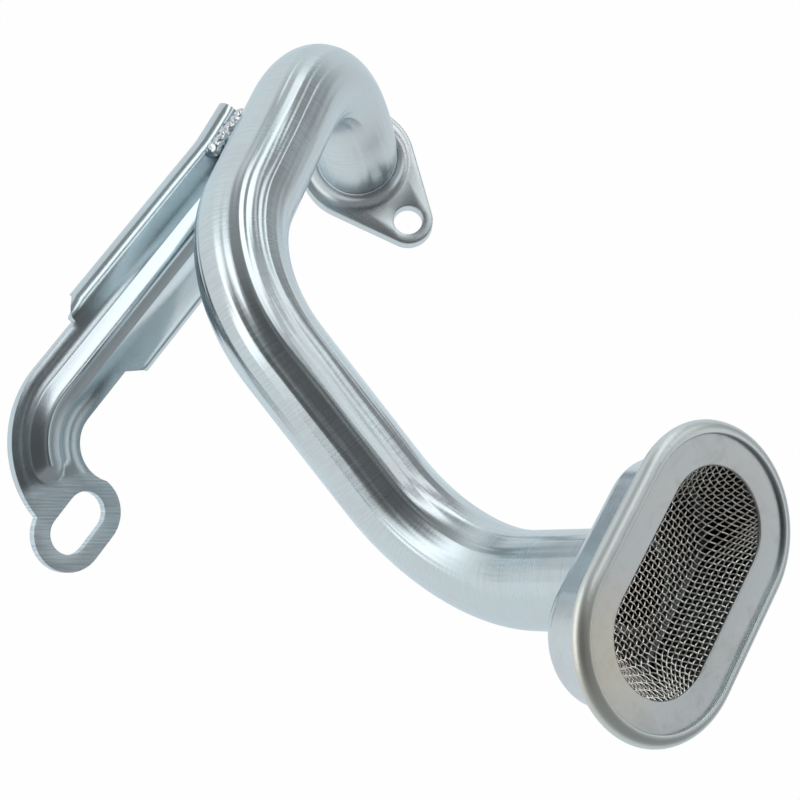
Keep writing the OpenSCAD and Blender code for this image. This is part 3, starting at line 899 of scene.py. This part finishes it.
def drape(reach, pitch, along_x):
    """Places in plan of wires that keep their pitch along the dish's floor and walls."""
    places = [0.0]
    at, gone = 0.0, 0.0
    last = dish_height(0, 0)[0]
    while at < reach:
        at += DRAPE_STEP
        z = dish_height(at, 0)[0] if along_x else dish_height(0, at)[0]
        gone += math.hypot(DRAPE_STEP, z - last)
        last = z
        if gone >= pitch:
            places.append(at)
            gone -= pitch
    return [-p for p in reversed(places[1:])] + places


def fine_places(places, parts):
    """Places between neighbouring wires, as pairs of wire count and place."""
    made = []
    for i, (a, b) in enumerate(zip(places, places[1:])):
        made += [(i + k / parts, a + (b - a) * k / parts) for k in range(parts)]
    return made + [(len(places) - 1, places[-1])]


def surface_normal(x, y):
    """Outward normal of the dish at a place in plan."""
    e = SLOPE_STEP
    dx = (dish_height(x + e, y)[0] - dish_height(x - e, y)[0]) / (2 * e)
    dy = (dish_height(x, y + e)[0] - dish_height(x, y - e)[0]) / (2 * e)
    return Vector((-dx, -dy, 1)).normalized()


class PICKUP_OT_screen(bpy.types.Operator):
    """Screen of woven wire pressed into a dish"""

    bl_idname = "pickup.screen"
    bl_label = "Woven screen"

    def execute(self, context):
        s = context.scene.strainer
        top = s.mouth + s.screen_reach
        across = drape(top + s.pitch, s.pitch, False)
        along = drape(s.side + top + s.pitch, s.pitch, True)
        curve = bpy.data.curves.new("wires", "CURVE")
        curve.dimensions = "3D"
        curve.bevel_depth = s.wire / 2
        curve.bevel_resolution = 1
        curve.use_fill_caps = True
        lift = s.wire * WIRE_LIFT
        cache = {}

        def point(x, y, wave):
            key = (round(x, 8), round(y, 8))
            if key not in cache:
                z, t = dish_height(x, y)
                cache[key] = (Vector((x, y, z)), surface_normal(x, y), t)
            place, normal, t = cache[key]
            return place + normal * wave * lift, t

        def wire(points):
            spline = curve.splines.new("POLY")
            spline.points.add(len(points) - 1)
            for spot, p in zip(spline.points, points):
                spot.co = (*p, 1)

        def cut_wire(points):
            run = []
            for p, t in points + [(None, math.inf)]:
                if t < SCREEN_END:
                    run.append(p)
                    continue
                if len(run) > WIRE_STUB:
                    wire(run)
                run = []

        for j, y in enumerate(across):
            cut_wire([point(x, y, math.cos(math.pi * (i + j))) for i, x in fine_places(along, WIRE_PARTS)])
        for i, x in enumerate(along):
            cut_wire([point(x, y, -math.cos(math.pi * (i + j))) for j, y in fine_places(across, WIRE_PARTS)])
        for start, middle, end in LOOSE_WIRES:
            base = Vector((0, 0, dish_height(*start)[0]))
            a, b, c = Vector((*start, 0)) + base, Vector(middle) + base, Vector(end) + base
            wire([a * (1 - u) ** 2 + b * 2 * u * (1 - u) + c * u * u for u in [k / 8 for k in range(9)]])
        bm = taken_back(linked("wires", curve))
        material = zinc("screen wire", context.scene.finishes.wire, rough=0.28, spread=0.08,
                        grain_scale=(1500, 1500, 1500), grain_depth=0.2, smudge=0.2, edge=0.00002)
        finish_piece(bm, "woven_screen", "strainer_screen", material, matrix=mouth_matrix(),
                     smooth=80, outward=False)
        return {"FINISHED"}


def arm_matrix():
    """The arm's frame: under the tube at the face of the web, with X along the arm."""
    b = bpy.context.scene.bracket
    p, x, y, z = tube_frames()[2]
    touch = p + z * b.seat
    drop = bpy.context.scene.pickup_tube.diameter / 2 / math.sqrt(1 - z.z**2)
    return Matrix.Translation((touch.x, touch.y, touch.z - drop)) @ Matrix.Rotation(b.arm_angle, 4, "Z")


def seat_rod():
    """A rod along the tube's third straight, for the notch in the arm."""
    t = bpy.context.scene.pickup_tube
    radius = t.diameter / 2 + CLEARANCE
    p, x, y, z = tube_frames()[2]
    bm = bmesh.new()
    bmesh.ops.create_cone(bm, cap_ends=True, segments=ROUND_STEPS, radius1=radius, radius2=radius, depth=SEAT_ROD)
    bmesh.ops.transform(bm, matrix=frame_matrix((p + z * t.straight_3 / 2, x, y, z)), verts=bm.verts)
    return mesh_object("seat rod", bm)


def bead_rise(place, elbow_c):
    """Height of the pressed bead at a place on the arm's face."""
    b = bpy.context.scene.bracket
    arm = place - elbow_c
    if place.x < b.bead_start:
        away = math.hypot(place.x - b.bead_start, place.y)
    elif place.x <= b.elbow:
        away = abs(place.y)
    elif math.atan2(arm.x, -arm.y) < b.bead_stop:
        away = abs(arm.xy.length - elbow_c.y)
    else:
        stop = elbow_c + Vector((math.sin(b.bead_stop), -math.cos(b.bead_stop), 0)) * elbow_c.y
        away = (place - stop).xy.length
    share = min(away / (b.bead / 2), 1)
    fall = (math.hypot(share, BEAD_CREST) - BEAD_CREST) / (math.hypot(1, BEAD_CREST) - BEAD_CREST)
    return b.bead_height * (1 - fall)


def crossing(c1, r1, c2, r2, side):
    """Where two circles in plan cross, on one side of the line through their centres."""
    gap = c2 - c1
    d = gap.length
    along = (d * d + r1 * r1 - r2 * r2) / (2 * d)
    off = math.sqrt(r1 * r1 - along * along)
    return c1 + gap * along / d + Vector((-gap.y, gap.x, 0)) / d * off * side


def heading(place, centre):
    """Heading of a place from a centre, in degrees."""
    return math.degrees(math.atan2(place.y - centre.y, place.x - centre.x))


def eye_outline(elbow_c):
    """Points round the eye, from the elbow's outer edge to its inner edge, and points round its slot."""
    b = bpy.context.scene.bracket
    inner, outer = b.elbow_radius - b.strip / 2, b.elbow_radius + b.strip / 2
    eye, half = elbow_c + Vector((b.eye_out, b.eye_up, 0)), Vector((b.slot_length / 2, 0, 0))
    right, left = eye + half, eye - half
    slot, radius = b.slot / 2, b.slot / 2 + b.eye_wall
    join_out = crossing(elbow_c, outer, right, radius, -1)
    join_in = crossing(elbow_c, inner, left, radius, 1)
    swept = ELBOW_SWEPT - 90
    rim = (
        plan_arc(elbow_c, outer, swept, heading(join_out, elbow_c), 6)
        + plan_arc(right, radius, heading(join_out, right), 90, 28)[1:]
        + plan_arc(left, radius, 90, heading(join_in, left) % 360, 24)
        + plan_arc(elbow_c, inner, heading(join_in, elbow_c), swept, 10)[1:]
    )
    return rim, plan_arc(right, slot, -90, 90, 24) + plan_arc(left, slot, 90, 270, 24)


class PICKUP_OT_bracket(bpy.types.Operator):
    """Stay bracket: a channel with bent edges, a pressed bead, an elbow and a slotted eye"""

    bl_idname = "pickup.bracket"
    bl_label = "Stay bracket"

    def execute(self, context):
        b = context.scene.bracket
        low, high = b.channel_shift - b.channel_width / 2, b.channel_shift + b.channel_width / 2
        strip_low, strip_high = b.strip_shift - b.strip / 2, b.strip_shift + b.strip / 2
        foot, strip_start = b.bead / 2, b.channel + b.corner
        elbow_c = Vector((b.elbow, b.elbow_radius + b.strip_shift, 0))

        # Channel, from the tail to its cut corners
        flat = [foot * (2 * i / BEAD_STEPS - 1) for i in range(BEAD_STEPS + 1)]
        flat = [strip_low, (strip_low - foot) / 2] + flat + [(strip_high + foot) / 2, strip_high]
        section = [(low, -b.depth)] + arc((low + b.bend, -b.bend), b.bend, 180, 90, 8) + [(y, 0) for y in flat]
        section += arc((high - b.bend, -b.bend), b.bend, 90, 0, 8) + [(high, -b.depth)]
        bm = bmesh.new()
        verts, edges = chain_of(bm, [(-b.tail, y, z) for y, z in section])
        for part in range(ARM_STEPS):
            verts, edges = extrude_row(bm, edges, ((b.tail + b.channel) / ARM_STEPS, 0, 0))
        verts, edges = extrude_row(bm, edges, (b.corner, 0, 0))
        for v in verts:
            past = max((strip_low - v.co.y) / (strip_low - low), (v.co.y - strip_high) / (high - strip_high), 0)
            v.co.x -= b.corner * min(past, 1) ** (3 if v.co.y < 0 else 1)
        bmesh.ops.remove_doubles(bm, verts=bm.verts, dist=SAME)
        bmesh.ops.dissolve_degenerate(bm, dist=SAME, edges=bm.edges)

        # Strip, elbow, bead and the flare of the tail
        edges = [e for e in bm.edges if all(abs(v.co.x - strip_start) < SAME for v in e.verts)]
        for part in range(STRIP_STEPS):
            verts, edges = extrude_row(bm, edges, ((b.elbow - strip_start) / STRIP_STEPS, 0, 0))
        row, row_edges = spin_row(bm, verts, edges, elbow_c, (0, 0, 1), math.radians(ELBOW_SWEPT), ELBOW_STEPS)
        for v in bm.verts:
            beside = v.co.y <= strip_low - MERGE and v.co.x < b.elbow
            if abs(v.co.z) <= MERGE and not beside:
                v.co.z = bead_rise(v.co, elbow_c)
        for v in bm.verts:
            if v.co.x < TAIL_FLARE_END and v.co.y < low + b.bend + MERGE:
                v.co.y -= TAIL_FLARE * (TAIL_FLARE_END - v.co.x)

        # Eye with its slot
        rim, hole = eye_outline(elbow_c)
        outline = [nearest(row, rim[0])] + [bm.verts.new(p) for p in rim[1:-1]] + [nearest(row, rim[-1])]
        ring = [bm.verts.new(p) for p in hole]
        pairs = list(zip(outline, outline[1:])) + list(zip(ring, ring[1:] + ring[:1]))
        bmesh.ops.triangle_fill(bm, use_beauty=True, edges=row_edges + [bm.edges.new(pair) for pair in pairs])
        bmesh.ops.recalc_face_normals(bm, faces=bm.faces)
        if sum(f.normal.z * f.calc_area() for f in bm.faces) < 0:
            bmesh.ops.reverse_faces(bm, faces=bm.faces)

        # Thickness, rounded edges and the seat on the tube
        arm = arm_matrix()
        bmesh.ops.transform(bm, matrix=arm, verts=bm.verts)
        rod = seat_rod()
        bm = shaped(bm, [
            ("SOLIDIFY", {"thickness": b.sheet, "offset": -1.0, "use_even_offset": True, "use_rim": True}),
            ("BEVEL", {"width": b.edge, "segments": 2, "limit_method": "ANGLE", "angle_limit": math.radians(50)}),
            ("BOOLEAN", {"operation": "DIFFERENCE", "object": rod, "solver": "EXACT"}),
        ])
        bpy.data.objects.remove(rod)
        way = arm.to_3x3() @ Vector((math.cos(b.brush_side), math.sin(b.brush_side), 0))
        brushed = (way, b.brush_start + way.dot(arm.translation), b.brush_turn + b.arm_angle)
        material = zinc("bracket zinc", context.scene.finishes.bracket, rough=0.2, spread=0.04,
                        grain_scale=(5000, 5000, 5000), grain_depth=0.06, contrast=0.09, edge=0.0002,
                        brushed=brushed)
        finish_piece(bm, "pressed_arm", "stay_bracket", material, smooth=32)
        return {"FINISHED"}


class PICKUP_OT_welds(bpy.types.Operator):
    """Rough weld beads between the tube and the bracket"""

    bl_idname = "pickup.welds"
    bl_label = "Weld beads"

    def execute(self, context):
        b = context.scene.bracket
        tube = context.scene.pickup_tube.diameter / 2
        bm = bmesh.new()
        for side in (-1, 1):
            for i in range(b.ripples):
                made = bmesh.ops.create_icosphere(bm, subdivisions=4, radius=b.weld)["verts"]
                place = Vector(((i - b.ripples / 2) * b.weld_step, side * (tube - b.weld), b.weld / 2))
                for v in made:
                    bump = sum(noise.noise(v.co * fine + place * shift) * tall for fine, shift, tall in WELD_NOISE)
                    v.co += v.co.normalized() * (bump - WELD_SINK)
                bmesh.ops.translate(bm, verts=made, vec=place)
        material = zinc("weld bead", context.scene.finishes.weld, rough=0.2, spread=0.08,
                        grain_scale=(900, 900, 900), grain_depth=0.6, edge=0.0001)
        finish_piece(bm, "weld_beads", "bracket_welds", material, matrix=arm_matrix(), smooth=60)
        return {"FINISHED"}


# Stage


def direction(azimuth, elevation):
    """Direction at an azimuth and elevation in degrees."""
    a, e = math.radians(azimuth), math.radians(elevation)
    return Vector((math.cos(e) * math.cos(a), math.cos(e) * math.sin(a), math.sin(e)))


def strip_lamp(name, start, end, width, level, away):
    """A soft strip between two directions that faces the part, as bright as its level over its whole face."""
    start, end = direction(*start), direction(*end)
    way = (start + end).normalized()
    up = (end - start).normalized()
    reach = 2 * away * math.tan(start.angle(end) / 2)
    data = bpy.data.lights.new(name, "AREA")
    data.shape = "RECTANGLE"
    data.size, data.size_y = width, reach
    data.energy = level * bpy.context.scene.stage.light * math.pi * width * reach
    linked(name, data).matrix_world = frame_matrix((Vector(LIT_PLACE) + way * away, up.cross(way), up, way))


def pale_floor():
    """Diffuse pale floor that is white to the camera and in reflections, and keeps the shadow."""
    pale = bpy.data.materials.new("pale floor")
    nodes = Nodes(pale)
    nodes.tree.nodes.clear()
    diffuse = nodes.add("BsdfDiffuse", {"Color": FLOOR_COLOUR})
    glow = nodes.add("Emission", {"Strength": 1.0})
    path = nodes.add("LightPath").outputs
    seen = nodes.math("MAXIMUM", path["Is Camera Ray"], path["Is Glossy Ray"])
    seen = nodes.math("MAXIMUM", seen, path["Is Transmission Ray"])
    white = nodes.math("MULTIPLY", seen, FLOOR_WHITE)
    mix = nodes.add("MixShader", {"Fac": white, 1: diffuse.outputs[0], 2: glow.outputs[0]})
    nodes.add("OutputMaterial", {"Surface": mix.outputs[0]})
    return pale


def room_light(settings):
    """Plain grey room with a dark side and a dark part overhead."""
    world = bpy.data.worlds.new("room")
    nodes = Nodes(world)
    nodes.tree.nodes.clear()
    outward = nodes.add("TexCoord").outputs["Generated"]

    def dimmed(part, levels):
        middle, ends = part
        near = nodes.vector("DOT_PRODUCT", outward, direction(*middle))
        return nodes.ranged(near, ends, levels, interpolation_type="SMOOTHSTEP")

    side = dimmed(DARK_SIDE, (settings.room, settings.shade))
    overhead = dimmed(DARK_OVERHEAD, (1.0, OVERHEAD_LEVEL))
    back = nodes.add("Background", {"Strength": nodes.math("MULTIPLY", side, overhead)})
    nodes.add("OutputWorld", {"Surface": back.outputs[0]})
    return world


class PICKUP_OT_stage(bpy.types.Operator):
    """Pale floor with a raised back, soft lamps, a grey room and the camera"""

    bl_idname = "pickup.stage"
    bl_label = "Stage"

    def execute(self, context):
        scene = context.scene
        scene.view_settings.view_transform = "Standard"
        low = CAD_BOX[0][2] - scene.stage.floor_gap
        bm = bmesh.new()
        verts, edges = chain_of(bm, [(-FLOOR_HALF, -FLOOR_HALF, low), (-FLOOR_HALF, FLOOR_HALF, low)])
        verts, edges = extrude_row(bm, edges, (FLOOR_RUN, 0, 0))
        spin_row(bm, verts, edges, (FLOOR_RUN - FLOOR_HALF, 0, low + BACK_ROUND), (0, -1, 0),
                 math.radians(BACK_RISE), 16)
        turn = Matrix.Rotation(math.radians(FLOOR_TURN), 3, "Z")
        bmesh.ops.rotate(bm, verts=bm.verts, cent=(0, 0, 0), matrix=turn)
        for face in bm.faces:
            face.smooth = True
        floor = mesh_object("floor", bm)
        floor.data.materials.append(pale_floor())
        scene.world = room_light(scene.stage)
        for lamp in LAMPS:
            strip_lamp(*lamp)

        back = Vector(CAMERA_BACK).normalized()
        right = Vector(CAMERA_RIGHT)
        right = (right - back * right.dot(back)).normalized()
        data = bpy.data.cameras.new("camera")
        data.lens, data.sensor_width = LENS, SENSOR
        data.clip_start, data.clip_end = 0.01, 20.0
        camera = linked("camera", data)
        camera.matrix_world = frame_matrix((Vector(CAMERA_PLACE), right, back.cross(right), back))
        scene.camera = camera
        return {"FINISHED"}


class PICKUP_PT_panel(bpy.types.Panel):
    """Lists the pieces and their sizes"""

    bl_idname = "PICKUP_PT_panel"
    bl_label = "Oil Pickup Tube"
    bl_space_type = "VIEW_3D"
    bl_region_type = "UI"
    bl_category = "Pickup"

    def draw(self, context):
        for operator in OPERATORS:
            self.layout.operator(operator.bl_idname)
        for name, group in GROUPS:
            box = self.layout.box()
            box.label(text=group.__doc__.rstrip("."))
            settings = getattr(context.scene, name)
            for key in group.__annotations__:
                box.prop(settings, key)


GROUPS = [
    ("pickup_tube", TubeSizes),
    ("flange", FlangeSizes),
    ("strainer", StrainerSizes),
    ("bracket", BracketSizes),
    ("finishes", Finishes),
    ("stage", StageSettings),
]
OPERATORS = [
    PICKUP_OT_tube,
    PICKUP_OT_flange,
    PICKUP_OT_filler,
    PICKUP_OT_cup,
    PICKUP_OT_ring,
    PICKUP_OT_screen,
    PICKUP_OT_bracket,
    PICKUP_OT_welds,
    PICKUP_OT_stage,
]


def register():
    for name, group in GROUPS:
        bpy.utils.register_class(group)
        setattr(bpy.types.Scene, name, PointerProperty(type=group))
    for operator in OPERATORS:
        bpy.utils.register_class(operator)
    bpy.utils.register_class(PICKUP_PT_panel)


def unregister():
    bpy.utils.unregister_class(PICKUP_PT_panel)
    for operator in reversed(OPERATORS):
        bpy.utils.unregister_class(operator)
    for name, group in reversed(GROUPS):
        delattr(bpy.types.Scene, name)
        bpy.utils.unregister_class(group)


def main():
    register()
    bpy.ops.pickup.tube()
    bpy.ops.pickup.flange()
    bpy.ops.pickup.filler()
    bpy.ops.pickup.cup()
    bpy.ops.pickup.ring()
    bpy.ops.pickup.screen()
    bpy.ops.pickup.bracket()
    bpy.ops.pickup.welds()
    bpy.ops.pickup.stage()
    bpy.context.view_layer.update()


if __name__ == "__main__":
    main()
